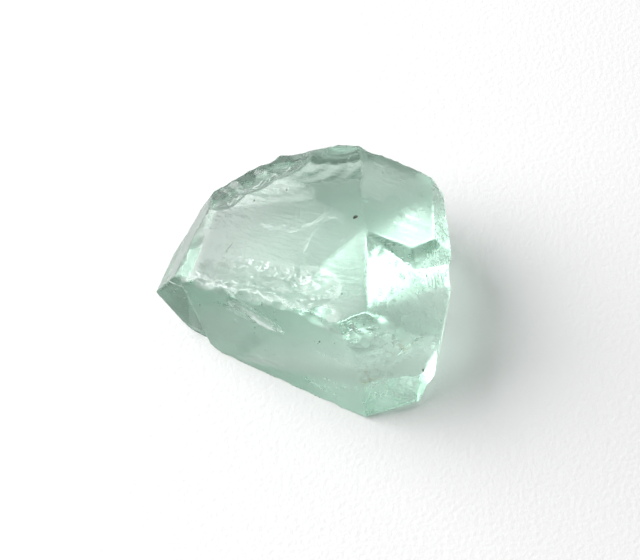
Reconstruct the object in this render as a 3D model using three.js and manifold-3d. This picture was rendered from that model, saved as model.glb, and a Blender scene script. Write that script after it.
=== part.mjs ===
// A broken fragment of one clear blue-green crystal, lying on its own flat underside.
//
// The crystal cleaves along flat planes and breaks elsewhere in shell-shaped (conchoidal) dishes. So the
// fragment is made the way it came to be: a rough block loses everything beyond each cleavage face, then
// corners break out as stepped ledges, shells spring off as rippled dishes, and its sharp edges get nicked.
// Nothing is hidden inside it, and it has no other piece.
//
// Lengths are millimetres and angles degrees. A face is measured from the heart of the stone by the
// direction it looks in: the azimuth round +Z from +X, the tilt from straight up, and its distance.

import * as THREE from "three";
import { mergeVertices } from "three/addons/utils/BufferGeometryUtils.js";
import Module from "manifold-3d";

const wasm = await Module();
wasm.setup();

// ---------------------------------------------------------------- driving dimensions

const HEART = new THREE.Vector3(0.56, -0.45, 2.5); // height of the heart above the rest face is z
const BLOCK = 30; // side of the rough block, and of the slab that each face cuts away

const FACES = {
  table: [-178, 14.7, 2.06], // the broad glassy cleavage on top, sloping down to the left
  lens: [124, 11.3, 2.59], // the shallow facet behind it
  shoulder: [36, 17.5, 3.21], // the dull facet at the back right corner
  front: [-117, 77.5, 2.83], // the satin cleavage that looks forward
  break: [-79, 71, 4.1], // the rough break at the right of the front
  rim: [160, 62, 4.98], // the thin steep facet along the left of the table
  bevel: [122, 36, 3.98], // the chipped band at the back left
  left: [-170, 72, 6],
  backLeft: [121, 92, 5.62],
  back: [88, 84, 5.75],
  backRight: [67, 80, 5.95],
  corner: [42, 52, 5.8], // rounds the shoulder off
  shoulderRight: [8, 52, 5],
  right: [4, 88, 5.5],
  rightFront: [-13, 90, 5.4],
  heel: [-71, 122, 5.7],
  underRight: [-2, 124, 4.85],
  underLeft: [164, 138, 5.1],
  underBack: [95, 128, 5],
  underFront: [-131, 112, 4.6],
  rest: [0, 180, HEART.z],
};

// A ledge breaks out the corner that lies beyond its floor and beyond any one of its walls.
const LEDGES = {
  slope: { floor: [-3.5, 32, 3.32], walls: [[-99, 62, 0.34], [-45, 62, 3.31]] }, // the bright one on top
  hollow: { floor: [-48, 158, 2.133], walls: [[88, 148, 0.958]] }, // under the right side, behind a foot
  leftTop: { floor: [-117, 77.5, 2.62], walls: [[-176, 66, 5.35]] },
  leftToe: { floor: [-119, 82, 2.82], walls: [[-165, 104, 5]] },
};

// A shell springs off: the place on the stone where it goes deepest and the way it faces there, the radius
// that it is curved to, its depth, the place where the blow struck, and the spacing of the ripples that
// run in rings from there.
const SHELLS = {
  lens: { at: [78, 60], faces: [112, 16], radius: 6, depth: 0.12, struck: [100, 78], ripple: 0.7 },
  bevelLow: { at: [137, 75], faces: [130, 46], radius: 1.9, depth: 0.16, struck: [142, 82], ripple: 0.4 },
  bevelMid: { at: [122, 72], faces: [124, 40], radius: 2.2, depth: 0.3, struck: [128, 84], ripple: 0.45 },
  bevelHigh: { at: [110, 71], faces: [104, 44], radius: 2.4, depth: 0.2, struck: [104, 82], ripple: 0.5 },
  breakHigh: { at: [-62, 68], faces: [-84, 58], radius: 3.6, depth: 0.24, struck: [-80, 62], ripple: 0.5 },
  breakLow: { at: [-46, 94], faces: [-62, 76], radius: 4.6, depth: 0.36, struck: [-36, 112], ripple: 0.7 },
  back: { at: [84, 92], faces: [90, 84], radius: 7, depth: 0.4, struck: [70, 62], ripple: 0.9 },
  backRight: { at: [46, 92], faces: [44, 88], radius: 5, depth: 0.4, struck: [60, 110], ripple: 0.8 },
  backLeft: { at: [150, 100], faces: [138, 100], radius: 6, depth: 0.45, struck: [172, 96], ripple: 0.8 },
  right: { at: [2, 98], faces: [0, 100], radius: 6, depth: 0.35, struck: [24, 80], ripple: 0.8 },
};
const RIPPLE_SHARE = 0.03; // height of a ripple near the blow, as a share of the spacing
const RIPPLE_FADE = 2.4; // distance from the blow at which the ripples have mostly died away
const RINGS_PER_RIPPLE = 4;
const SHELL_SIDES = 52;

// The long boat-shaped chip under the front crest, with a narrower one along its lower side.
const BOATS = [
  { at: [-143, 78], along: [-28, 101], length: 2.7, width: 0.34, depth: 0.3 },
  { at: [-152, 84], along: [-26, 99], length: 1.5, width: 0.16, depth: 0.16 },
];

// Shallow grooves side by side along the right edge of the slope, where the cleavage ends in steps: how far
// the first lies from the edge, their pitch, and how far along it the even and the odd ones sit.
const FLUTES = {
  count: 4,
  inset: 0.133,
  pitch: 0.38,
  along: [0.5, 0.25],
  length: 2.8,
  width: 0.17,
  depth: 0.1,
};
const GOUGE_SIDES = 18; // round a boat or a flute
const GOUGE_RINGS = 12;

// Small shell-shaped nicks along an edge: the two faces that meet there, where they run along it, how many,
// the mean radius they are curved to, and their depth as a share of it.
const NICKS = [
  { edge: ["table", "front"], from: -5.2, to: 2.8, count: 12, radius: 1, sunk: 0.06 },
  { edge: ["table", "rim"], from: -2.6, to: 2.4, count: 8, radius: 0.9, sunk: 0.05 },
  { edge: ["bevel", "rim"], from: -1.6, to: 1.6, count: 5, radius: 0.8, sunk: 0.06 },
  { edge: ["bevel", "backLeft"], from: -2.6, to: 2.6, count: 9, radius: 0.8, sunk: 0.07 },
  { edge: ["front", "break"], from: -3, to: 2.6, count: 6, radius: 1, sunk: 0.06 },
  { edge: ["slope", "break"], from: -2.4, to: 2.4, count: 8, radius: 0.9, sunk: 0.11 },
  { edge: ["lens", "back"], from: -2.4, to: 1.4, count: 6, radius: 0.9, sunk: 0.05 },
  { edge: ["shoulder", "backRight"], from: -2, to: 1.8, count: 5, radius: 1.1, sunk: 0.05 },
  { edge: ["front", "rest"], from: -3, to: 4.2, count: 9, radius: 0.8, sunk: 0.03 },
  { edge: ["break", "rightFront"], from: -2.2, to: 1.6, count: 6, radius: 1, sunk: 0.06 },
];
const NICK_LEAN = [0.15, 0.85]; // how far round a nick may face from the second face of its edge to the first
const NICK_TWIST = [-0.5, 0.5]; // and how far along the edge
const NICK_SIZE = [0.6, 1.5]; // smallest and largest radius, as shares of the mean
const NICK_SINK = [0.6, 1.6]; // least and greatest depth, as shares of the row's
const NICK_SEEDS = 31; // seeds kept for each row
const NICK_DETAIL = 4; // how finely a nick's ball is divided

const SAME_POINT = 1e-5; // corners closer than this are one
const GRAZING = 1e-6; // a face that leans less than this towards a direction doesn't stop it

// ---------------------------------------------------------------- geometry helpers

// Unit vector for an azimuth and a tilt.
function direction([azimuth, tilt]) {
  const polar = THREE.MathUtils.degToRad(tilt);
  const round = THREE.MathUtils.degToRad(azimuth);
  return new THREE.Vector3(
    Math.sin(polar) * Math.cos(round),
    Math.sin(polar) * Math.sin(round),
    Math.cos(polar),
  );
}

// A closed geometry as a solid that can be joined and cut.
function solidOf(geometry) {
  const bare = geometry.clone();
  bare.deleteAttribute("normal");
  bare.deleteAttribute("uv");
  const merged = mergeVertices(bare, SAME_POINT);
  return new wasm.Manifold(
    new wasm.Mesh({
      numProp: 3,
      vertProperties: merged.attributes.position.array,
      triVerts: new Uint32Array(merged.index.array),
    }),
  );
}

// The geometry turned so that its +Y looks along a direction, with its own origin at a point.
function placed(geometry, look, point) {
  const turn = new THREE.Quaternion().setFromUnitVectors(new THREE.Vector3(0, 1, 0), look);
  return geometry.applyQuaternion(turn).translate(point.x, point.y, point.z);
}

// Everything beyond a face, as a slab that stands on it.
function beyond([azimuth, tilt, distance]) {
  const look = direction([azimuth, tilt]);
  const slab = new THREE.BoxGeometry(BLOCK, BLOCK, BLOCK).translate(0, BLOCK / 2, 0);
  return solidOf(placed(slab, look, HEART.clone().addScaledVector(look, distance)));
}

// How far out from the heart the cleavage faces let the stone reach in a direction, and which face stops it.
function reach(look) {
  let best = { distance: Infinity, normal: null };
  for (const face of Object.values(FACES)) {
    const normal = direction(face);
    const lean = normal.dot(look);
    if (lean > GRAZING && face[2] / lean < best.distance) {
      best = { distance: face[2] / lean, normal };
    }
  }
  return best;
}

// The corner that lies beyond a ledge's floor and beyond any one of its walls.
function ledge({ floor, walls }) {
  const beyondWalls = walls.map(beyond).reduce((all, wall) => all.add(wall));
  return beyond(floor).intersect(beyondWalls);
}

// The place on the cleaved stone that lies in a direction from the heart.
function seat(look) {
  const outward = direction(look);
  return HEART.clone().addScaledVector(outward, reach(outward).distance);
}

// A ball sunk into the stone, whose surface ripples in rings round the side where the blow struck.
function shell({ at, faces, radius, depth, struck, ripple }) {
  const middle = seat(at).addScaledVector(direction(faces), radius - depth);
  const pole = seat(struck).sub(middle).normalize();
  const step = ripple / (RINGS_PER_RIPPLE * radius);
  const rings = Math.ceil(Math.PI / step);
  const profile = [];
  for (let ring = 0; ring <= rings; ring++) {
    const angle = (Math.PI * ring) / rings;
    const run = angle * radius;
    const height = RIPPLE_SHARE * ripple * Math.exp(-run / RIPPLE_FADE);
    const swell = radius + height * Math.cos((2 * Math.PI * run) / ripple);
    profile.push(new THREE.Vector2(swell * Math.sin(angle), -swell * Math.cos(angle)));
  }
  profile[0].x = 0;
  profile.at(-1).x = 0;
  return solidOf(placed(new THREE.LatheGeometry(profile, SHELL_SIDES), pole.negate(), middle));
}

// A long ellipsoid sunk to its waist into a surface, with its long axis along the run.
function gouge(middle, run, normal, { length, width, depth }) {
  const side = new THREE.Vector3().crossVectors(normal, run);
  const hull = new THREE.SphereGeometry(1, GOUGE_SIDES, GOUGE_RINGS).scale(length / 2, width, depth);
  const turn = new THREE.Matrix4().makeBasis(run, side, normal);
  return solidOf(hull.applyMatrix4(turn.setPosition(middle)));
}

// A gouge in the cleavage face that lies in a direction from the heart.
function boat({ at, along, ...size }) {
  const { normal } = reach(direction(at));
  return gouge(seat(at), direction(along).projectOnPlane(normal).normalize(), normal, size);
}

// A point on the line where two faces meet, a distance along it from where it passes nearest the heart.
function onEdge(first, second, along) {
  const [a, b] = [direction(first), direction(second)];
  const lean = a.dot(b);
  const share = 1 / (1 - lean * lean);
  const nearest = new THREE.Vector3()
    .addScaledVector(a, (first[2] - second[2] * lean) * share)
    .addScaledVector(b, (second[2] - first[2] * lean) * share);
  const run = new THREE.Vector3().crossVectors(a, b).normalize();
  return { point: nearest.addScaledVector(run, along).add(HEART), run };
}

// A repeatable number between 0 and 1 for each seed: the tail of a large multiple of a sine.
function scatter(seed) {
  const value = Math.sin(seed * 12.9898 + 4.1414) * 43758.5453;
  return value - Math.floor(value);
}

// A repeatable number between two others.
function between([low, high], seed) {
  return THREE.MathUtils.lerp(low, high, scatter(seed));
}

// Gouges side by side along the edge between the slope and the right face.
function flutes({ count, inset, pitch, along, ...size }) {
  const { floor } = LEDGES.slope;
  const up = direction(floor);
  const grooves = [];
  for (let i = 0; i < count; i++) {
    const { point, run } = onEdge(floor, FACES.right, along[i % along.length]);
    const inwards = up.clone().cross(run);
    grooves.push(gouge(point.addScaledVector(inwards, inset + pitch * i), run, up, size));
  }
  return grooves;
}

// Balls that dip into an edge, each of its own size and facing its own way between the two faces.
function nicks({ edge, from, to, count, radius, sunk }, row) {
  const [one, other] = edge.map((name) => FACES[name] ?? LEDGES[name].floor);
  const balls = [];
  for (let i = 0; i < count; i++) {
    const seed = NICK_SEEDS * row + i;
    const along = THREE.MathUtils.lerp(from, to, (i + scatter(seed)) / count);
    const { point, run } = onEdge(one, other, along);
    const facing = direction(other).lerp(direction(one), between(NICK_LEAN, seed + 0.25));
    facing.addScaledVector(run, between(NICK_TWIST, seed + 0.75)).normalize();
    const size = radius * between(NICK_SIZE, seed + 0.5);
    const stand = size * (1 - sunk * between(NICK_SINK, seed + 0.9));
    const ball = new THREE.IcosahedronGeometry(size, NICK_DETAIL);
    balls.push(solidOf(placed(ball, facing, point.addScaledVector(facing, stand))));
  }
  return balls;
}

// ---------------------------------------------------------------- the stone

// The rough block, cleaved by every face, then broken and nicked.
function crystalGeometry() {
  let stone = solidOf(new THREE.BoxGeometry(BLOCK, BLOCK, BLOCK));
  const cuts = [
    ...Object.values(FACES).map(beyond),
    ...Object.values(LEDGES).map(ledge),
    ...Object.values(SHELLS).map(shell),
    ...BOATS.map(boat),
    ...flutes(FLUTES),
    ...NICKS.flatMap(nicks),
  ];
  for (const cut of cuts) {
    stone = stone.subtract(cut);
  }
  // Any splinter that the cuts leave loose falls away.
  const [whole] = stone.decompose().sort((one, other) => other.volume() - one.volume());
  const mesh = whole.getMesh();
  const geometry = new THREE.BufferGeometry();
  geometry.setAttribute("position", new THREE.BufferAttribute(mesh.vertProperties, 3));
  geometry.setIndex(new THREE.BufferAttribute(mesh.triVerts, 1));
  return geometry;
}

const clearStone = new THREE.MeshStandardMaterial({
  name: "clear blue-green crystal",
  color: 0xb4dccb,
  roughness: 0.18,
  metalness: 0,
  transparent: true,
  opacity: 0.5,
  flatShading: true,
});

const crystal = new THREE.Mesh(crystalGeometry(), clearStone);
crystal.name = "crystal";

const group = new THREE.Group();
group.add(crystal);

export default group;
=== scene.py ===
"""One broken piece of clear blue-green crystal on a sheet of white paper, dressed around its solid model."""

import math

import bpy
import numpy as np
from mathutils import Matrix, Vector
from mathutils.bvhtree import BVHTree


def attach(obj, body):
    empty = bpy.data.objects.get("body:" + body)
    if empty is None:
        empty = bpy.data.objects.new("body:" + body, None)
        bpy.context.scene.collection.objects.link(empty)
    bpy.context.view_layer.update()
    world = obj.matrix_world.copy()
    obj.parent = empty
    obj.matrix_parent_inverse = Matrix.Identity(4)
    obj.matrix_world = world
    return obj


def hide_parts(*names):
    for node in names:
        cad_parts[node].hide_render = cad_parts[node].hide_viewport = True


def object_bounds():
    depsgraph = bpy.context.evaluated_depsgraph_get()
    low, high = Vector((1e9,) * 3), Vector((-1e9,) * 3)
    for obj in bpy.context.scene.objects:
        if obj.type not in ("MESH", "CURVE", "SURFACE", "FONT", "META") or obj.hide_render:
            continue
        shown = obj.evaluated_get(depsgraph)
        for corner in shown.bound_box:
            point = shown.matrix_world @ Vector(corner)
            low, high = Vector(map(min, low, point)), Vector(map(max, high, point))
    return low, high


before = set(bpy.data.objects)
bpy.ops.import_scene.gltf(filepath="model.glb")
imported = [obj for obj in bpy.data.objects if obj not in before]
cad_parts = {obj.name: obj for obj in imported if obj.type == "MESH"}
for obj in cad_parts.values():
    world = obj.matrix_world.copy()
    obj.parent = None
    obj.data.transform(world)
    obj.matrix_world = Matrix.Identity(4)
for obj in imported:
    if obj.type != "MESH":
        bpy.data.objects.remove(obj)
solid_low, solid_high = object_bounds()
scene = bpy.context.scene

# ---------------------------------------------------------------------------- camera
# A close-up from in front and well above, square to the stone's width, with a short telephoto lens.

MM = 0.001
CAMERA_HEIGHT = 60.0  # degrees above the table
CAMERA_DISTANCE = 71.7 * MM
CAMERA_LENS = 100.0
CAMERA_LOOKS_AT = Vector((0.72, -0.31, 2.5)) * MM

lens = bpy.data.cameras.new("close-up lens")
lens.lens = CAMERA_LENS
lens.sensor_width = 36.0
lens.clip_start = 1 * MM
lens.clip_end = 10.0
camera = bpy.data.objects.new("camera", lens)
scene.collection.objects.link(camera)
rise = math.radians(CAMERA_HEIGHT)
camera.location = CAMERA_LOOKS_AT + CAMERA_DISTANCE * Vector((0, -math.cos(rise), math.sin(rise)))
camera.rotation_euler = (math.pi / 2 - rise, 0, 0)
scene.camera = camera

# ---------------------------------------------------------------------------- crystal: shape
# The real piece is a cleavage fragment: flat glassy faces where the crystal split along its planes, and
# rippled shell-shaped breaks between them. Everything is in millimetres, measured from the stone's heart.

HEART = np.array([0.56, -0.45, 2.5])

# face: (azimuth, tilt from straight up, distance from the heart)
FACES = {
    "table": (-178, 14.7, 2.06),
    "lens": (124, 11.3, 2.59),
    "shoulder": (36, 17.5, 3.21),
    "front": (-117, 77.5, 2.83),
    "break": (-79, 71, 4.1),
    "rim": (160, 62, 4.98),
    "bevel": (122, 36, 3.98),
    "left": (-170, 72, 6.0),
    "back left": (121, 92, 5.62),
    "back": (88, 84, 5.75),
    "back right": (67, 80, 5.95),
    "corner": (42, 52, 5.8),
    "shoulder right": (8, 52, 5.0),
    "right": (4, 88, 5.5),
    "right front": (-13, 90, 5.4),
    "heel": (-71, 122, 5.7),
    "under right": (-2, 124, 4.85),
    "under left": (164, 138, 5.1),
    "under back": (95, 128, 5.0),
    "under front": (-131, 112, 4.6),
    "rest": (0, 180, 2.5),
}

# ledge: its floor, and the walls of which any one bounds the corner that broke out
LEDGES = {
    "slope": ((-3.5, 32, 3.32), [(-99, 62, 0.34), (-45, 62, 3.31)]),
    "hollow": ((-48, 158, 2.133), [(88, 148, 0.958)]),
    "left top": ((-117, 77.5, 2.62), [(-176, 66, 5.35)]),
    "left toe": ((-119, 82, 2.82), [(-165, 104, 5.0)]),
}

# shell: where it goes deepest, the way it faces, radius, depth, where the blow struck, ripple spacing
SHELLS = {
    "lens shell": ((78, 60), (112, 16), 6.0, 0.12, (100, 78), 0.7),
    "bevel low": ((137, 75), (130, 46), 1.9, 0.16, (142, 82), 0.4),
    "bevel mid": ((122, 72), (124, 40), 2.2, 0.30, (128, 84), 0.45),
    "bevel high": ((110, 71), (104, 44), 2.4, 0.2, (104, 82), 0.5),
    "break high": ((-62, 68), (-84, 58), 3.6, 0.24, (-80, 62), 0.5),
    "break low": ((-46, 94), (-62, 76), 4.6, 0.36, (-36, 112), 0.7),
    "back shell": ((84, 92), (90, 84), 7.0, 0.4, (70, 62), 0.9),
    "back right shell": ((46, 92), (44, 88), 5.0, 0.4, (60, 110), 0.8),
    "back left shell": ((150, 100), (138, 100), 6.0, 0.45, (172, 96), 0.8),
    "right shell": ((2, 98), (0, 100), 6.0, 0.35, (24, 80), 0.8),
}
RIPPLE_SHARE = 0.03
RIPPLE_FADE = 2.4

# boat: its seat, the way it runs, length, half-width, depth
BOATS = [((-143, 78), (-28, 101), 2.7, 0.34, 0.3), ((-152, 84), (-26, 99), 1.5, 0.16, 0.16)]
# flutes beside the slope's right edge: how many, how far in the first one lies, their spacing, where every
# other one is centred along the edge, and the length, half-width and depth of each
FLUTES = dict(count=4, inset=0.133, pitch=0.38, along=(0.5, 0.25), size=(2.8, 0.17, 0.1))

# row of nicks: the two faces whose edge is chipped, where it starts and ends along it, how many, mean radius,
# depth as a share of the radius
NICKS = [
    (("table", "front"), -5.2, 2.8, 12, 1.0, 0.06),
    (("table", "rim"), -2.6, 2.4, 8, 0.9, 0.05),
    (("bevel", "rim"), -1.6, 1.6, 5, 0.8, 0.06),
    (("bevel", "back left"), -2.6, 2.6, 9, 0.8, 0.07),
    (("front", "break"), -3.0, 2.6, 6, 1.0, 0.06),
    (("slope", "break"), -2.4, 2.4, 8, 0.9, 0.11),
    (("lens", "back"), -2.4, 1.4, 6, 0.9, 0.05),
    (("shoulder", "back right"), -2.0, 1.8, 5, 1.1, 0.05),
    (("front", "rest"), -3.0, 4.2, 9, 0.8, 0.03),
    (("break", "right front"), -2.2, 1.6, 6, 1.0, 0.06),
]
# the finest chips, in the same order
FINE_NICKS = [
    (("table", "front"), -5.4, 3.4, 34, 0.5, 0.07),
    (("table", "rim"), -3.0, 2.6, 12, 0.35, 0.07),
    (("bevel", "rim"), -2.0, 2.0, 8, 0.35, 0.08),
    (("bevel", "lens"), -3.0, 3.0, 14, 0.5, 0.06),
    (("bevel", "table"), -3.4, 2.6, 16, 0.55, 0.06),
    (("bevel", "back left"), -3.0, 3.0, 20, 0.35, 0.1),
    (("front", "break"), -3.2, 2.8, 16, 0.45, 0.07),
    (("slope", "break"), -2.8, 2.8, 20, 0.45, 0.09),
    (("break", "right front"), -2.6, 2.0, 14, 0.45, 0.07),
    (("slope", "right"), -2.6, -0.9, 7, 0.35, 0.07),
    (("shoulder", "back right"), -2.6, 2.2, 14, 0.45, 0.05),
]

NICK_LEAN = (0.15, 0.85)  # how far round a nick may face from the second face of its edge to the first
NICK_TWIST = (-0.5, 0.5)  # and how far along the edge
NICK_SIZE = (0.6, 1.5)  # smallest and largest radius, as shares of the mean
NICK_SINK = (0.6, 1.6)  # least and greatest depth, as shares of the row's
NICK_SEEDS = 31  # seeds kept for each row
NICK_MARGIN = 1.0  # how far past its ball a nick is looked for

# stain: where it lies and how wide it is
STAINS = [((4.0, -3.9, 3.3), 0.8), ((2.6, -4.6, 2.1), 0.9), ((0.6, -4.8, 2.3), 0.9), ((4.5, -3.8, 3.4), 0.6)]

# crushed patch: middle, half-size along the crest, across it and through the surface, relief, frost
CREST = (0.94, -0.34, 0.28)  # the way the front crest runs
CRUSHED = [
    ((-1.9, -0.95, 4.0), (2.4, 0.75, 0.6), 0.10, 0.25),
    ((0.3, -1.75, 4.5), (1.3, 0.8, 0.6), 0.10, 0.22),
    ((2.4, -3.7, 4.2), (1.6, 0.6, 0.9), 0.09, 0.25),
    ((4.4, -3.5, 3.3), (0.9, 1.0, 1.2), 0.09, 0.25),
    ((3.8, -1.2, 4.3), (1.5, 1.8, 1.0), 0.06, 0.16),
    ((3.6, 2.2, 4.6), (2.2, 2.2, 0.8), 0.02, 0.1),
    ((3.2, -4.6, 2.2), (2.2, 1.0, 1.4), 0.05, 0.1),
    ((-1.8, 3.6, 3.9), (2.4, 0.8, 0.8), 0.05, 0.1),
]

CRUSHED_FROST = (0.3, 1.0)  # shares of a patch's frost in its furrows and on its ridges
# ridges of the crushed grain: size, how much narrower than long, share, seed
RIDGES = [(0.55, 2.2, 0.6, 5), (0.22, 2.0, 0.4, 6)]
# hackle of a broken face: size and share of each octave
HACKLE = [(0.5, 0.55), (0.24, 0.3), (0.12, 0.15)]

EDGE_WEAR = 0.015  # rounds each edge over about this radius
SPACING = 0.078  # of the grid, on the sides of the stone's box
CORE = HEART + (1.5, 0.26, -0.14)  # where the grid's rays start, well clear of both steep walls
MARCH_FROM = 0.5  # share of the way to the cleaved face where the search for the surface starts
MARCH_STEPS, HALVINGS = 25, 9
GRAZING = 1e-6  # a ray that leans less than this towards a face never meets it

# finish: frost of the surface, mean height of its hackle
FINISH = {
    "table": (0.16, 0.0),
    "lens": (0.2, 0.006),
    "lens shell": (0.2, 0.006),
    "shoulder": (0.5, 0.008),
    "shoulder right": (0.30, 0.010),
    "corner": (0.30, 0.010),
    "slope": (0.25, 0.03),
    "front": (0.5, 0.03),
    "break": (0.22, 0.045),
    "rim": (0.16, 0.014),
    "bevel": (0.45, 0.035),
    "bevel low": (0.3, 0.035),
    "bevel mid": (0.3, 0.035),
    "bevel high": (0.3, 0.035),
    "break high": (0.16, 0.03),
    "break low": (0.18, 0.035),
    "hollow": (0.16, 0.001),
    "right front": (0.5, 0.012),
    "right": (0.5, 0.014),
    "heel": (0.5, 0.012),
    "under right": (0.4, 0.02),
    "nick": (0.45, 0.006),
    "rest": (0.04, 0.001),
}
OTHER_FINISH = (0.2, 0.008)


def direction(azimuth, tilt):
    """Unit vector (sin tilt cos azimuth, sin tilt sin azimuth, cos tilt)."""
    round_, polar = math.radians(azimuth), math.radians(tilt)
    return np.array([math.sin(polar) * math.cos(round_), math.sin(polar) * math.sin(round_), math.cos(polar)])


def reach(look):
    """How far the faces let the stone reach, the least of distance / (normal . look), and the normal of the
    face that does so."""
    best = (math.inf, None)
    for azimuth, tilt, distance in FACES.values():
        normal = direction(azimuth, tilt)
        lean = float(normal @ look)
        if lean > GRAZING and distance / lean < best[0]:
            best = (distance / lean, normal)
    return best


def seat(at):
    """The place on the cleaved stone in a direction from the heart."""
    look = direction(*at)
    return HEART + look * reach(look)[0]


def on_edge(first, second, along):
    """A point on the line where two faces meet: the point x with a.x = d1 and b.x = d2 nearest the heart,
    moved along a x b. Returns it with the run of the line."""
    a, b = direction(*first[:2]), direction(*second[:2])
    lean = a @ b
    nearest = ((first[2] - second[2] * lean) * a + (second[2] - first[2] * lean) * b) / (1 - lean * lean)
    run = np.cross(a, b)
    run /= np.linalg.norm(run)
    return HEART + nearest + run * along, run


HASH_WAVE, HASH_SHIFT, HASH_SCALE = 12.9898, 4.1414, 43758.5453


def scatter(seed):
    """A repeatable number from 0 to 1: the fraction of sin(wave * seed + shift) times a large scale."""
    value = math.sin(seed * HASH_WAVE + HASH_SHIFT) * HASH_SCALE
    return value - math.floor(value)


def between(ends, seed):
    """A repeatable number between two ends: low + (high - low) * scatter."""
    low, high = ends
    return low + (high - low) * scatter(seed)


def plane(face):
    """A face's field: (p - heart) . normal - distance."""
    normal, distance = direction(*face[:2]), face[2]
    return lambda p: (p - HEART) @ normal - distance


def any_wall(walls):
    """The greatest of the walls' fields."""
    fields = [plane(wall) for wall in walls]
    return lambda p: np.maximum.reduce([field(p) for field in fields])


def both(one, other):
    """The lesser of two fields, positive only where both are."""
    return lambda p: np.minimum(one(p), other(p))


def ball(middle, radius):
    """A nick's field: radius - distance from the middle."""
    return lambda p: radius - np.linalg.norm(p - middle, axis=1)


def dish(middle, radius, pole, ripple):
    """A shell's field: radius - distance from the middle, plus ripples share * spacing * exp(-run / fade)
    * cos(2 pi run / spacing), where run is the arc from the pole, under the blow."""

    def field(p):
        out = p - middle
        far = np.linalg.norm(out, axis=1)
        run = np.arccos(np.clip(out @ pole / far, -1, 1)) * radius
        wave = np.exp(-run / RIPPLE_FADE) * np.cos(2 * np.pi * run / ripple)
        return radius + RIPPLE_SHARE * ripple * wave - far

    return field


def gouge(middle, run, normal, length, half_width, depth):
    """A long chip's field: depth times 1 - |(2 along / length, across / half-width, through / depth)|."""
    axes = np.stack([run / (length / 2), np.cross(normal, run) / half_width, normal / depth], 1)
    return lambda p: (1 - np.linalg.norm((p - middle) @ axes, axis=1)) * depth


def cutters():
    """Every cut as (name, field, where), each field positive on the side that is broken away; where is the
    middle and radius of a nick, and nothing for a cut that may reach anywhere."""
    made = [(name, plane(face), None) for name, face in FACES.items()]
    for name, (floor, walls) in LEDGES.items():
        made.append((name, both(plane(floor), any_wall(walls)), None))
    for name, (at, faces, radius, depth, struck, ripple) in SHELLS.items():
        middle = seat(at) + direction(*faces) * (radius - depth)
        pole = seat(struck) - middle
        made.append((name, dish(middle, radius, pole / np.linalg.norm(pole), ripple), None))
    for at, along, *size in BOATS:
        normal = reach(direction(*at))[1]
        run = direction(*along)
        run = run - normal * (run @ normal)
        made.append(("boat", gouge(seat(at), run / np.linalg.norm(run), normal, *size), None))
    slope, walls = LEDGES["slope"]
    up = direction(*slope[:2])
    for i in range(FLUTES["count"]):
        point, run = on_edge(slope, FACES["right"], FLUTES["along"][i % 2])
        middle = point + np.cross(up, run) * (FLUTES["inset"] + FLUTES["pitch"] * i)
        made.append(("flute", both(gouge(middle, run, up, *FLUTES["size"]), any_wall(walls)), None))
    planes = FACES | {name: floor for name, (floor, _) in LEDGES.items()}
    for row, ((one, other), low, high, count, size, sunk) in enumerate(NICKS + FINE_NICKS):
        for i in range(count):
            seed = NICK_SEEDS * row + i
            point, run = on_edge(planes[one], planes[other], low + (high - low) * (i + scatter(seed)) / count)
            lean = between(NICK_LEAN, seed + 0.25)
            facing = direction(*planes[one][:2]) * lean + direction(*planes[other][:2]) * (1 - lean)
            facing += run * between(NICK_TWIST, seed + 0.75)
            facing /= np.linalg.norm(facing)
            radius = size * between(NICK_SIZE, seed + 0.5)
            middle = point + facing * radius * (1 - sunk * between(NICK_SINK, seed + 0.9))
            made.append(("nick", ball(middle, radius), (middle, radius)))
    return made


POINT_CODE = np.array([1, 10_000, 100_000_000])  # makes one number of a grid point's three


def lattice(low, high, spacing):
    """The surface of a box as a closed grid of quads: whole numbers (i, j, k) with at least one of them at an
    end of its range, each point used once, and the quads wound to face outwards."""
    cells = np.maximum(2, np.round((high - low) / spacing).astype(int))
    quads = []
    for axis in range(3):
        a, b = (axis + 1) % 3, (axis + 2) % 3
        u, v = np.meshgrid(np.arange(cells[a]), np.arange(cells[b]), indexing="ij")
        u, v = u.ravel(), v.ravel()
        for end in (0, 1):
            corners = []
            steps = ((0, 0), (1, 0), (1, 1), (0, 1)) if end else ((0, 0), (0, 1), (1, 1), (1, 0))
            for du, dv in steps:
                corner = np.zeros((len(u), 3), int)
                corner[:, axis] = cells[axis] * end
                corner[:, a] = u + du
                corner[:, b] = v + dv
                corners.append(corner)
            quads.append(np.stack(corners, 1))
    quads = np.concatenate(quads)
    codes = (quads @ POINT_CODE).ravel()
    _, first, back = np.unique(codes, return_index=True, return_inverse=True)
    points = quads.reshape(-1, 3)[first]
    return low + points * (high - low) / cells, back.reshape(-1, 4)


def rounded_max(fields, radius):
    """max(f) + r ln sum exp((f - max) / r): the greatest field, blended over the radius r where two are close.
    Returns it with each field's share."""
    top = fields.max(0)
    weight = np.exp((fields - top) / radius)
    total = weight.sum(0)
    return top + radius * np.log(total), weight / total


HASH_WAVES = np.array([127.1, 311.7, 74.7])
SEED_STEP = 17.31


def noise(p, size, seed=0):
    """Smooth noise from -1 to 1 with features of a size: hashed values at the corners of a lattice, blended
    with 3 t^2 - 2 t^3 along each axis."""
    q = p / size + seed * SEED_STEP
    cell = np.floor(q)
    t = q - cell
    t = t * t * (3 - 2 * t)
    total = np.zeros(len(p))
    for corner in range(8):
        bit = np.array([corner & 1, corner >> 1 & 1, corner >> 2 & 1])
        value = np.sin((cell + bit) @ HASH_WAVES) * HASH_SCALE
        total += (value - np.floor(value)) * np.prod(np.where(bit, t, 1 - t), axis=1)
    return 2 * total - 1


def hackle(p):
    """Relief of a broken face, from 0 to 2 and about 1 on average: 1 + the shares of noise of each octave."""
    return 1 + sum(share * noise(p, size, seed) for seed, (size, share) in enumerate(HACKLE, 1))


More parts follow.
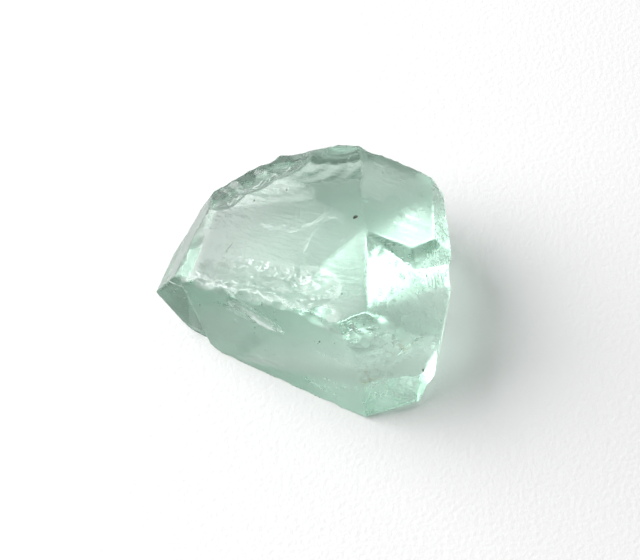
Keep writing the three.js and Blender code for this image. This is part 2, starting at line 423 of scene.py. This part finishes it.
def crushing(p):
    """The relief that crushing takes off each point, and the frost that it adds: over each patch the root of
    1 - (along / a)^2 - (across / b)^2 - (through / c)^2, never under 0, times ridges, which are 1 - the shares
    of |noise|."""
    along = np.array(CREST) / np.linalg.norm(CREST)
    across = np.cross([0, 0, 1], along)
    across /= np.linalg.norm(across)
    axes = np.stack([along, across, np.cross(along, across)], 1)
    ridges = np.ones(len(p))
    for size, narrow, share, seed in RIDGES:
        ridges -= share * np.abs(noise(p @ axes * (1, narrow, narrow), size, seed))
    low, high = CRUSHED_FROST
    relief, frost = np.zeros(len(p)), np.zeros(len(p))
    for middle, size, height, rough in CRUSHED:
        inside = np.maximum(0, 1 - (((p - middle) @ axes / size) ** 2).sum(1)) ** 0.5
        relief = np.maximum(relief, inside * height * ridges)
        frost = np.maximum(frost, inside * rough * (low + (high - low) * ridges))
    return relief, frost


def crystal_surface(low, high):
    """Rays from the core through a grid meet the stone where the greatest cut field turns positive. A march
    out finds the first crossing and halving settles it; then hackle and crushing come off along the ray."""
    grid, quads = lattice(low, high, SPACING)
    look = grid - CORE
    look /= np.linalg.norm(look, axis=1)[:, None]
    normals = np.array([direction(*face[:2]) for face in FACES.values()])
    distances = np.array([face[2] for face in FACES.values()]) - normals @ (CORE - HEART)
    lean = look @ normals.T
    far = np.where(lean > GRAZING, distances / np.maximum(lean, GRAZING), np.inf).min(1)
    cleaved = CORE + look * far[:, None]
    cuts = cutters()
    touched = [slice(None)] * len(cuts)
    for row, (_, _, where) in enumerate(cuts):
        if where is not None:
            touched[row] = np.linalg.norm(cleaved - where[0], axis=1) < where[1] + NICK_MARGIN

    def field(t):
        p = CORE + look * t[:, None]
        values = np.full((len(cuts), len(p)), -NICK_MARGIN)
        for row, (_, cut, _), some in zip(values, cuts, touched):
            row[some] = cut(p[some])
        return rounded_max(values, EDGE_WEAR)

    inside, outside = far * MARCH_FROM, far.copy()
    found = np.zeros(len(far), bool)
    for share in np.linspace(MARCH_FROM, 1, MARCH_STEPS + 1)[1:]:
        out = field(far * share)[0] > 0
        fresh = out & ~found
        outside[fresh] = (far * share)[fresh]
        found |= out
        inside = np.where(found, inside, far * share)
    for _ in range(HALVINGS):
        middle = (inside + outside) / 2
        out = field(middle)[0] > 0
        outside = np.where(out, middle, outside)
        inside = np.where(out, inside, middle)
    _, weight = field(inside)
    finish = np.array([FINISH.get(name, OTHER_FINISH) for name, _, _ in cuts])
    frost, height = weight.T @ finish[:, 0], weight.T @ finish[:, 1]
    p = CORE + look * inside[:, None]
    relief, crushed = crushing(p)
    p -= look * (height * hackle(p) + relief)[:, None]
    p[:, 2] = np.maximum(p[:, 2], 0)
    stain = sum(np.exp(-((p - middle) ** 2).sum(1) / (width / 2) ** 2) for middle, width in STAINS)
    return p, quads, frost + crushed, np.minimum(1, stain)


def mesh_of(name, points, quads, **attributes):
    """A mesh from an array of points and one of quads, with a number per point for each attribute."""
    mesh = bpy.data.meshes.new(name)
    mesh.vertices.add(len(points))
    mesh.vertices.foreach_set("co", (points * MM).astype(np.float32).ravel())
    mesh.loops.add(quads.size)
    mesh.loops.foreach_set("vertex_index", quads.astype(np.int32).ravel())
    mesh.polygons.add(len(quads))
    mesh.polygons.foreach_set("loop_start", np.arange(0, quads.size, 4, dtype=np.int32))
    mesh.polygons.foreach_set("use_smooth", np.ones(len(quads), bool))
    for key, values in attributes.items():
        layer = mesh.attributes.new(key, "FLOAT", "POINT")
        layer.data.foreach_set("value", values.astype(np.float32))
    mesh.update(calc_edges=True)
    mesh.validate()
    made = bpy.data.objects.new(name, mesh)
    scene.collection.objects.link(made)
    return made


box_low = np.array(solid_low) / MM
box_high = np.array(solid_high) / MM
points, quads, frost, stain = crystal_surface(box_low, box_high)
points = np.clip(points, box_low, box_high)
crystal = mesh_of("clear_crystal", points, quads, frost=frost, stain=stain)

# ---------------------------------------------------------------------------- crystal: material
# A clear zinc phosphate mineral, glassy where it cleaved and satin where it broke. Light passes through it
# and loses red, and a little blue, on the way, so thick parts and slanting edges are a deeper blue-green.
# Its frost is uneven and drawn out along the cleavage, and rust has stained it in a few places.


def linear(colour):
    """An sRGB hex colour as linear RGBA."""
    parts = [int(colour[i : i + 2], 16) / 255 for i in (1, 3, 5)]
    return tuple(c / 12.92 if c <= 0.04045 else ((c + 0.055) / 1.055) ** 2.4 for c in parts) + (1.0,)


def add(tree, kind, inputs=None, **settings):
    """Adds one node: settings are its own properties, inputs are values or sockets by name or number."""
    made = tree.nodes.new(kind)
    for key, value in settings.items():
        setattr(made, key, value)
    for key, value in (inputs or {}).items():
        if isinstance(value, bpy.types.NodeSocket):
            tree.links.new(value, made.inputs[key])
        else:
            made.inputs[key].default_value = value
    return made


REFRACTION = 1.60
ABSORBED = linear("#b5f8db")
ABSORPTION_PER_M = 80.0
RUST = linear("#d8b48c")
CLEAR_WHITE = (1, 1, 1, 1)
CLEAVAGE_RUNS = 20.0  # degrees round from +x
DRAWN_OUT = (0.12, 1, 1)  # squeezes a pattern's coordinates, so that it is longer along the cleavage
# The marks of a real cleavage are finer than this and wouldn't show, so they are drawn coarser.
MOTTLE, STREAKS = 0.25 * MM, 0.35 * MM
PITS, PIT_DEPTH = 0.12 * MM, 0.01 * MM
SCORES, SCORE_DEPTH = 0.16 * MM, 0.015 * MM
BLOTCHES = 0.3 * MM
MIX_A, MIX_B, MIX_RESULT = 6, 7, 2  # the colour sockets of a Mix node

clear = bpy.data.materials.new("clear_phosphate_crystal")
clear.use_nodes = True
tree = clear.node_tree
tree.nodes.clear()
place = add(tree, "ShaderNodeTexCoord").outputs["Object"]
turned = {"Vector": place, "Axis": (0, 0, 1), "Angle": math.radians(CLEAVAGE_RUNS)}
lined_up = add(tree, "ShaderNodeVectorRotate", turned, rotation_type="AXIS_ANGLE").outputs["Vector"]
drawn_out = {0: lined_up, 1: DRAWN_OUT}
drawn_out = add(tree, "ShaderNodeVectorMath", drawn_out, operation="MULTIPLY").outputs["Vector"]

frosting = add(tree, "ShaderNodeAttribute", attribute_name="frost").outputs["Fac"]
mottle = {"Vector": place, "Scale": 1 / MOTTLE, "Detail": 4.0}
mottle = add(tree, "ShaderNodeTexNoise", mottle).outputs["Fac"]
streak = {"Vector": drawn_out, "Scale": 1 / STREAKS, "Detail": 4.0}
streak = add(tree, "ShaderNodeTexNoise", streak).outputs["Fac"]
mottle = add(tree, "ShaderNodeMath", {0: mottle, 1: streak}, operation="ADD").outputs[0]
uneven = {"Value": mottle, "From Min": 0.6, "From Max": 1.4, "To Min": 0.3, "To Max": 1.6}
uneven = add(tree, "ShaderNodeMapRange", uneven).outputs["Result"]
roughness = add(tree, "ShaderNodeMath", {0: frosting, 1: uneven}, operation="MULTIPLY").outputs[0]

pits = {"Vector": place, "Scale": 1 / PITS, "Detail": 5.0}
pits = add(tree, "ShaderNodeTexNoise", pits).outputs["Fac"]
pitted = {"Strength": 0.5, "Distance": PIT_DEPTH, "Height": pits}
pitted = add(tree, "ShaderNodeBump", pitted).outputs["Normal"]
scores = {"Vector": drawn_out, "Scale": 1 / SCORES, "Detail": 3.0}
scores = add(tree, "ShaderNodeTexNoise", scores).outputs["Fac"]
scored = {"Strength": 0.6, "Distance": SCORE_DEPTH, "Height": scores, "Normal": pitted}
scored = add(tree, "ShaderNodeBump", scored).outputs["Normal"]

marked = add(tree, "ShaderNodeAttribute", attribute_name="stain").outputs["Fac"]
blotch = {"Vector": place, "Scale": 1 / BLOTCHES, "Detail": 4.0}
blotch = add(tree, "ShaderNodeTexNoise", blotch).outputs["Fac"]
blotch = {"Value": blotch, "From Min": 0.45, "From Max": 0.7}
blotch = add(tree, "ShaderNodeMapRange", blotch).outputs["Result"]
stained = add(tree, "ShaderNodeMath", {0: marked, 1: blotch}, operation="MULTIPLY").outputs[0]
tint = {"Factor": stained, MIX_A: CLEAR_WHITE, MIX_B: RUST}
tint = add(tree, "ShaderNodeMix", tint, data_type="RGBA").outputs[MIX_RESULT]

surface = {"Base Color": tint, "Transmission Weight": 1.0, "IOR": REFRACTION, "Roughness": roughness}
surface = add(tree, "ShaderNodeBsdfPrincipled", surface | {"Normal": scored})
depth = add(tree, "ShaderNodeVolumeAbsorption", {"Color": ABSORBED, "Density": ABSORPTION_PER_M})
add(tree, "ShaderNodeOutputMaterial", {"Surface": surface.outputs[0], "Volume": depth.outputs[0]})
crystal.data.materials.append(clear)

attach(crystal, "root")
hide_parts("crystal")

# ---------------------------------------------------------------------------- cracks, bruises and painted glints
# Cracks that reach the skin of the stone, and the bruises of small knocks. Thin feather-like films and flakes
# of air are trapped in them, so they look white. The dense white streak along the lower rim of the long chip
# is painted highlight, where that rim catches the lamp, and the brightness of the tight flake clusters is
# partly painted glint. They are as old as the break, and only the stone holds them.

# row of slivers (the feathers, and the painted glints marked below): its line over the stone, number of
# slivers, longest, widest, how far they fan out and stray
FEATHERS_AND_GLINTS = [
    ([(1.2, 1.33, 4.8), (0.32, 1.01, 4.6), (-0.47, 0.86, 4.4), (-1.88, 1.41, 4)], 54, 0.9, 0.014, 0.3, 0.09),
    ([(0.72, 0.85, 4.7), (0.33, 0.32, 4.6), (-0.07, -0.31, 4.5)], 22, 0.6, 0.012, 0.3, 0.09),
    ([(2.5, 0.25, 5.1), (1.7, 0.2, 4.9), (1.1, 0.0, 4.8)], 8, 0.5, 0.01, 0.3, 0.06),
    ([(-2.6, 0.1, 3.8), (-1.65, -0.84, 4.1), (-0.85, -0.96, 4.3), (-0.06, -1.7, 4.5)], 60, 0.4, 0.03, 1, 0.2),
    ([(-0.06, -1.9, 4.5), (0.99, -1.69, 4.7)], 30, 0.4, 0.03, 0.8, 0.15),
    # the next three rows: tight clusters of white flakes in small fractures, their bright white partly a
    # painted glint
    ([(-0.1, -1.5, 4.5), (0.35, -1.4, 4.55)], 40, 0.22, 0.08, 2.0, 0.13),
    ([(-1.45, -0.6, 4.1), (-1.3, -0.5, 4.1)], 12, 0.18, 0.06, 2.0, 0.06),
    ([(-2.15, -0.35, 3.95), (-1.95, -0.3, 3.95)], 10, 0.16, 0.05, 2.0, 0.06),
    # painted highlight: a dense, wide white streak along the lower rim of the long chip, where that rim
    # catches the lamp
    ([(-2.81, -1.83, 3.14), (-1.94, -2.32, 2.96), (-1.07, -2.8, 2.77)], 44, 0.8, 0.085, 0.08, 0.03),
    ([(-3.1, -1.5, 3.7), (-1.6, -2.4, 3.3), (-0.8, -2.9, 3.0)], 24, 0.7, 0.025, 0.15, 0.06),
    ([(-5.4, -0.65, 2.6), (-4.75, -0.95, 2.7)], 9, 0.5, 0.03, 0.1, 0.03),
    ([(1.94, -3.76, 4.85), (2.26, -3.98, 4.1)], 14, 0.35, 0.06, 0.5, 0.08),
    ([(0.53, -4.1, 4.6), (2.15, -4.05, 3.9)], 22, 0.6, 0.03, 0.25, 0.15),
    ([(2.6, -4.0, 3.9), (4.6, -3.7, 3.5)], 60, 0.3, 0.045, 1.0, 0.35),
    ([(1.2, -4.6, 2.9), (4.3, -4.2, 2.4)], 70, 0.25, 0.045, 1.2, 0.45),
    ([(5.2, -1.9, 3.4), (5.35, -0.3, 3.3)], 16, 0.7, 0.03, 0.1, 0.1),
    ([(-3.3, 2.6, 3.5), (-1.9, 3.7, 3.9), (-0.4, 4.4, 4.0)], 46, 0.35, 0.04, 0.6, 0.15),
    ([(-4.4, -0.5, 3.4), (-3.2, -1.2, 3.7), (-1.0, -2.1, 4.2), (1.2, -3, 4.8)], 120, 0.32, 0.035, 0.5, 0.16),
]
STATIONS = 7
LIFT = 0.003  # off the skin, so that a sliver isn't lost in it
SHORTENED = (0.25, 1)  # shares of the longest and of the widest that a sliver may have
NARROWED = (0.3, 1)
BOWED = 0.12
POINTED = 0.96
SLIVER_DRAWS = 7  # seed


def feather_and_glint_mesh(skin):
    """Slivers laid on the skin as strips of quads: stations s from -1 to 1 along each, half-width
    w (1 - pointed s^2), bowed sideways by b s^2, and every point moved to the nearest place on the skin."""
    rng = np.random.default_rng(SLIVER_DRAWS)
    slivers = []
    for line, count, longest, widest, fan, stray in FEATHERS_AND_GLINTS:
        line = np.array(line)
        legs = np.diff(line, axis=0)
        lengths = np.linalg.norm(legs, axis=1)
        walk = np.concatenate([[0], np.cumsum(lengths)])
        for at in rng.uniform(0, walk[-1], count):
            leg = min(np.searchsorted(walk[1:], at), len(legs) - 1)
            spot = line[leg] + legs[leg] * (at - walk[leg]) / lengths[leg] + rng.normal(0, stray, 3)
            spot, normal = (np.array(part) for part in skin.find_nearest(Vector(spot))[:2])
            run = legs[leg] - normal * (legs[leg] @ normal)
            run /= np.linalg.norm(run)
            turn = rng.normal(0, fan)
            run = run * math.cos(turn) + np.cross(normal, run) * math.sin(turn)
            length = longest * rng.uniform(*SHORTENED) / 2
            width = widest * rng.uniform(*NARROWED) / 2
            slivers.append((spot, run, np.cross(normal, run), length, width, length * rng.normal(0, BOWED)))
    spot, run, side, length, width, bow = (np.array(part) for part in zip(*slivers))
    s = np.linspace(-1, 1, STATIONS)
    along = (length[:, None] * s)[..., None, None]
    half = width[:, None] * (1 - POINTED * s * s)
    across = ((bow[:, None] * s * s)[..., None] + half[..., None] * (-1, 1))[..., None]
    laid = spot[:, None, None] + run[:, None, None] * along + side[:, None, None] * across
    nearest = [skin.find_nearest(Vector(point))[:2] for point in laid.reshape(-1, 3)]
    on_skin, outward = (np.array(part) for part in zip(*nearest))
    first = np.arange(len(spot))[:, None] * 2 * STATIONS + np.arange(0, 2 * STATIONS - 2, 2)
    return on_skin + outward * LIFT, first.reshape(-1, 1) + (0, 1, 3, 2)


skin = BVHTree.FromPolygons(points.tolist(), quads.tolist())
feathers_and_glints = mesh_of("skin_cracks_and_painted_glints", *feather_and_glint_mesh(skin))

# Films of trapped air: they throw back most of the light, unevenly. The same white is the painted highlight on
# the long chip's rim and the painted glint of the flake clusters.
FILM_AND_GLINT_DULL, FILM_AND_GLINT_BRIGHT = linear("#c4ded3"), linear("#fbfffd")
FILM_PATCHES = 0.1 * MM

air_and_glint_white = bpy.data.materials.new("trapped_air_and_painted_glint_white")
air_and_glint_white.use_nodes = True
tree = air_and_glint_white.node_tree
tree.nodes.clear()
place = add(tree, "ShaderNodeTexCoord").outputs["Object"]
film_and_glint_tone = {"Vector": place, "Scale": 1 / FILM_PATCHES, "Detail": 3.0}
film_and_glint_tone = add(tree, "ShaderNodeTexNoise", film_and_glint_tone).outputs["Fac"]
film_and_glint_tone = {"Factor": film_and_glint_tone, MIX_A: FILM_AND_GLINT_DULL, MIX_B: FILM_AND_GLINT_BRIGHT}
film_and_glint_tone = add(tree, "ShaderNodeMix", film_and_glint_tone, data_type="RGBA").outputs[MIX_RESULT]
sheen = add(tree, "ShaderNodeBsdfPrincipled", {"Base Color": film_and_glint_tone, "Roughness": 0.35})
add(tree, "ShaderNodeOutputMaterial", {"Surface": sheen.outputs[0]})
feathers_and_glints.data.materials.append(air_and_glint_white)

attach(feathers_and_glints, "root")

# ---------------------------------------------------------------------------- dark specks
# Grains and one needle of a dark mineral that the crystal grew round. They are held in it, and show where the
# break has bared them.

# grain: middle, half-length along, across and through, azimuth and tilt of its length
GRAINS = [
    ((2.12, 1.12, 4.97), (0.10, 0.07, 0.06), (20, 70)),
    ((-2.90, 0.52, 3.66), (0.30, 0.016, 0.016), (52, 80)),
    ((-1.93, 2.56, 3.90), (0.06, 0.03, 0.03), (70, 80)),
    ((4.02, 3.50, 4.15), (0.045, 0.035, 0.03), (0, 90)),
    ((3.68, 0.82, 4.76), (0.04, 0.03, 0.03), (40, 90)),
    ((4.80, -4.10, 1.92), (0.06, 0.04, 0.04), (90, 60)),
    ((2.68, -4.55, 1.90), (0.05, 0.04, 0.04), (10, 80)),
    ((4.92, -0.74, 3.55), (0.05, 0.03, 0.03), (30, 60)),
    ((-0.60, 2.90, 4.10), (0.04, 0.03, 0.03), (60, 80)),
    ((0.70, -3.60, 3.40), (0.035, 0.03, 0.03), (60, 80)),
    ((1.60, -2.20, 4.60), (0.035, 0.02, 0.02), (100, 80)),
]


LUMP_SIZE, LUMP_HEIGHT = 0.8, 0.3  # as shares of the grain's half-lengths
BALL_SPACING = 0.4


def grain_mesh():
    """Each grain is a grid on a ball of radius 1 + height * noise, scaled to its three half-lengths and
    turned to its own length."""
    grid, faces = lattice(np.full(3, -1.0), np.full(3, 1.0), BALL_SPACING)
    round_ball = grid / np.linalg.norm(grid, axis=1)[:, None]
    parts, quads = [], []
    for number, (middle, size, (azimuth, tilt)) in enumerate(GRAINS):
        along = direction(azimuth, tilt)
        across = np.cross([0, 0, 1], along)
        across /= np.linalg.norm(across)
        axes = np.stack([along, across, np.cross(along, across)])
        lumpy = round_ball * (1 + LUMP_HEIGHT * noise(round_ball, LUMP_SIZE, number)[:, None])
        parts.append(np.array(middle) + (lumpy * size) @ axes)
        quads.append(faces + number * len(round_ball))
    return np.concatenate(parts), np.concatenate(quads)


grains = mesh_of("dark_specks", *grain_mesh())

# An opaque brown-black mineral, dull where the break bared it.
GRAIN_DARK, GRAIN_PALE = linear("#2a2a20"), linear("#5b5a48")
GRAIN_PATCHES = 0.05 * MM

dark = bpy.data.materials.new("dark_mineral")
dark.use_nodes = True
tree = dark.node_tree
tree.nodes.clear()
place = add(tree, "ShaderNodeTexCoord").outputs["Object"]
patchy = {"Vector": place, "Scale": 1 / GRAIN_PATCHES, "Detail": 3.0}
patchy = add(tree, "ShaderNodeTexNoise", patchy).outputs["Fac"]
patchy = {"Factor": patchy, MIX_A: GRAIN_DARK, MIX_B: GRAIN_PALE}
patchy = add(tree, "ShaderNodeMix", patchy, data_type="RGBA").outputs[MIX_RESULT]
dull = add(tree, "ShaderNodeBsdfPrincipled", {"Base Color": patchy, "Roughness": 0.6})
add(tree, "ShaderNodeOutputMaterial", {"Surface": dull.outputs[0]})
grains.data.materials.append(dark)

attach(grains, "root")

# ---------------------------------------------------------------------------- floor
# A sheet of matt white paper, far wider than the view, lying just under the stone. Its fibres give it a fine
# grain.

PAPER_DROP = 0.02 * MM
PAPER_SIZE = 3.0
PAPER_WHITE = linear("#f2f2f2")
PAPER_GRAIN, GRAIN_HEIGHT = 0.2 * MM, 0.03 * MM

bpy.ops.mesh.primitive_plane_add(size=PAPER_SIZE, location=(0, 0, -PAPER_DROP))
paper = bpy.context.object
paper.name = "paper"
matt = bpy.data.materials.new("matt_white_paper")
matt.use_nodes = True
tree = matt.node_tree
tree.nodes.clear()
place = add(tree, "ShaderNodeTexCoord").outputs["Object"]
fibres = {"Vector": place, "Scale": 1 / PAPER_GRAIN, "Detail": 3.0}
fibres = add(tree, "ShaderNodeTexNoise", fibres).outputs["Fac"]
grained = {"Strength": 0.6, "Distance": GRAIN_HEIGHT, "Height": fibres}
grained = add(tree, "ShaderNodeBump", grained).outputs["Normal"]
sheet = {"Base Color": PAPER_WHITE, "Roughness": 0.9, "Specular IOR Level": 0.2, "Normal": grained}
sheet = add(tree, "ShaderNodeBsdfPrincipled", sheet)
add(tree, "ShaderNodeOutputMaterial", {"Surface": sheet.outputs[0]})
paper.data.materials.append(matt)

# ---------------------------------------------------------------------------- light
# One wide soft lamp on the left and a little behind, and a dim room whose far wall is pale.

LAMP_AZIMUTH = 162.0
LAMP_HEIGHT = 30.5
LAMP_DISTANCE = 200 * MM
LAMP_SIZE = 230 * MM
LAMP_WATTS = 0.78
ROOM_DIM, ROOM_PALE = 0.2, 0.67
PALE_WALL = (105, 65)  # azimuth, and tilt from straight up, of the middle of the pale wall
FADE_FROM = -0.2  # the room starts to pale where its direction . the wall's is this
BOUNCES = 20  # light crosses the stone many times before it leaves

glow = bpy.data.lights.new("soft lamp", "AREA")
glow.shape = "DISK"
glow.size = LAMP_SIZE
glow.energy = LAMP_WATTS
lamp = bpy.data.objects.new("soft lamp", glow)
scene.collection.objects.link(lamp)
ray = Vector(direction(LAMP_AZIMUTH, 90 - LAMP_HEIGHT))
lamp.location = ray * LAMP_DISTANCE
lamp.rotation_euler = ray.to_track_quat("Z", "Y").to_euler()

room = bpy.data.worlds.new("room")
scene.world = room
room.use_nodes = True
tree = room.node_tree
tree.nodes.clear()
view = add(tree, "ShaderNodeTexCoord").outputs["Generated"]
wall = {0: view, 1: tuple(direction(*PALE_WALL))}
toward = add(tree, "ShaderNodeVectorMath", wall, operation="DOT_PRODUCT").outputs["Value"]
fade = {"Value": toward, "From Min": FADE_FROM, "To Min": ROOM_DIM, "To Max": ROOM_PALE}
level = add(tree, "ShaderNodeMapRange", fade, interpolation_type="SMOOTHSTEP").outputs["Result"]
sky = add(tree, "ShaderNodeBackground", {"Color": (1, 1, 1, 1), "Strength": level})
add(tree, "ShaderNodeOutputWorld", {"Surface": sky.outputs[0]})

scene.view_settings.view_transform = "Standard"
scene.cycles.max_bounces = BOUNCES
scene.cycles.transmission_bounces = BOUNCES
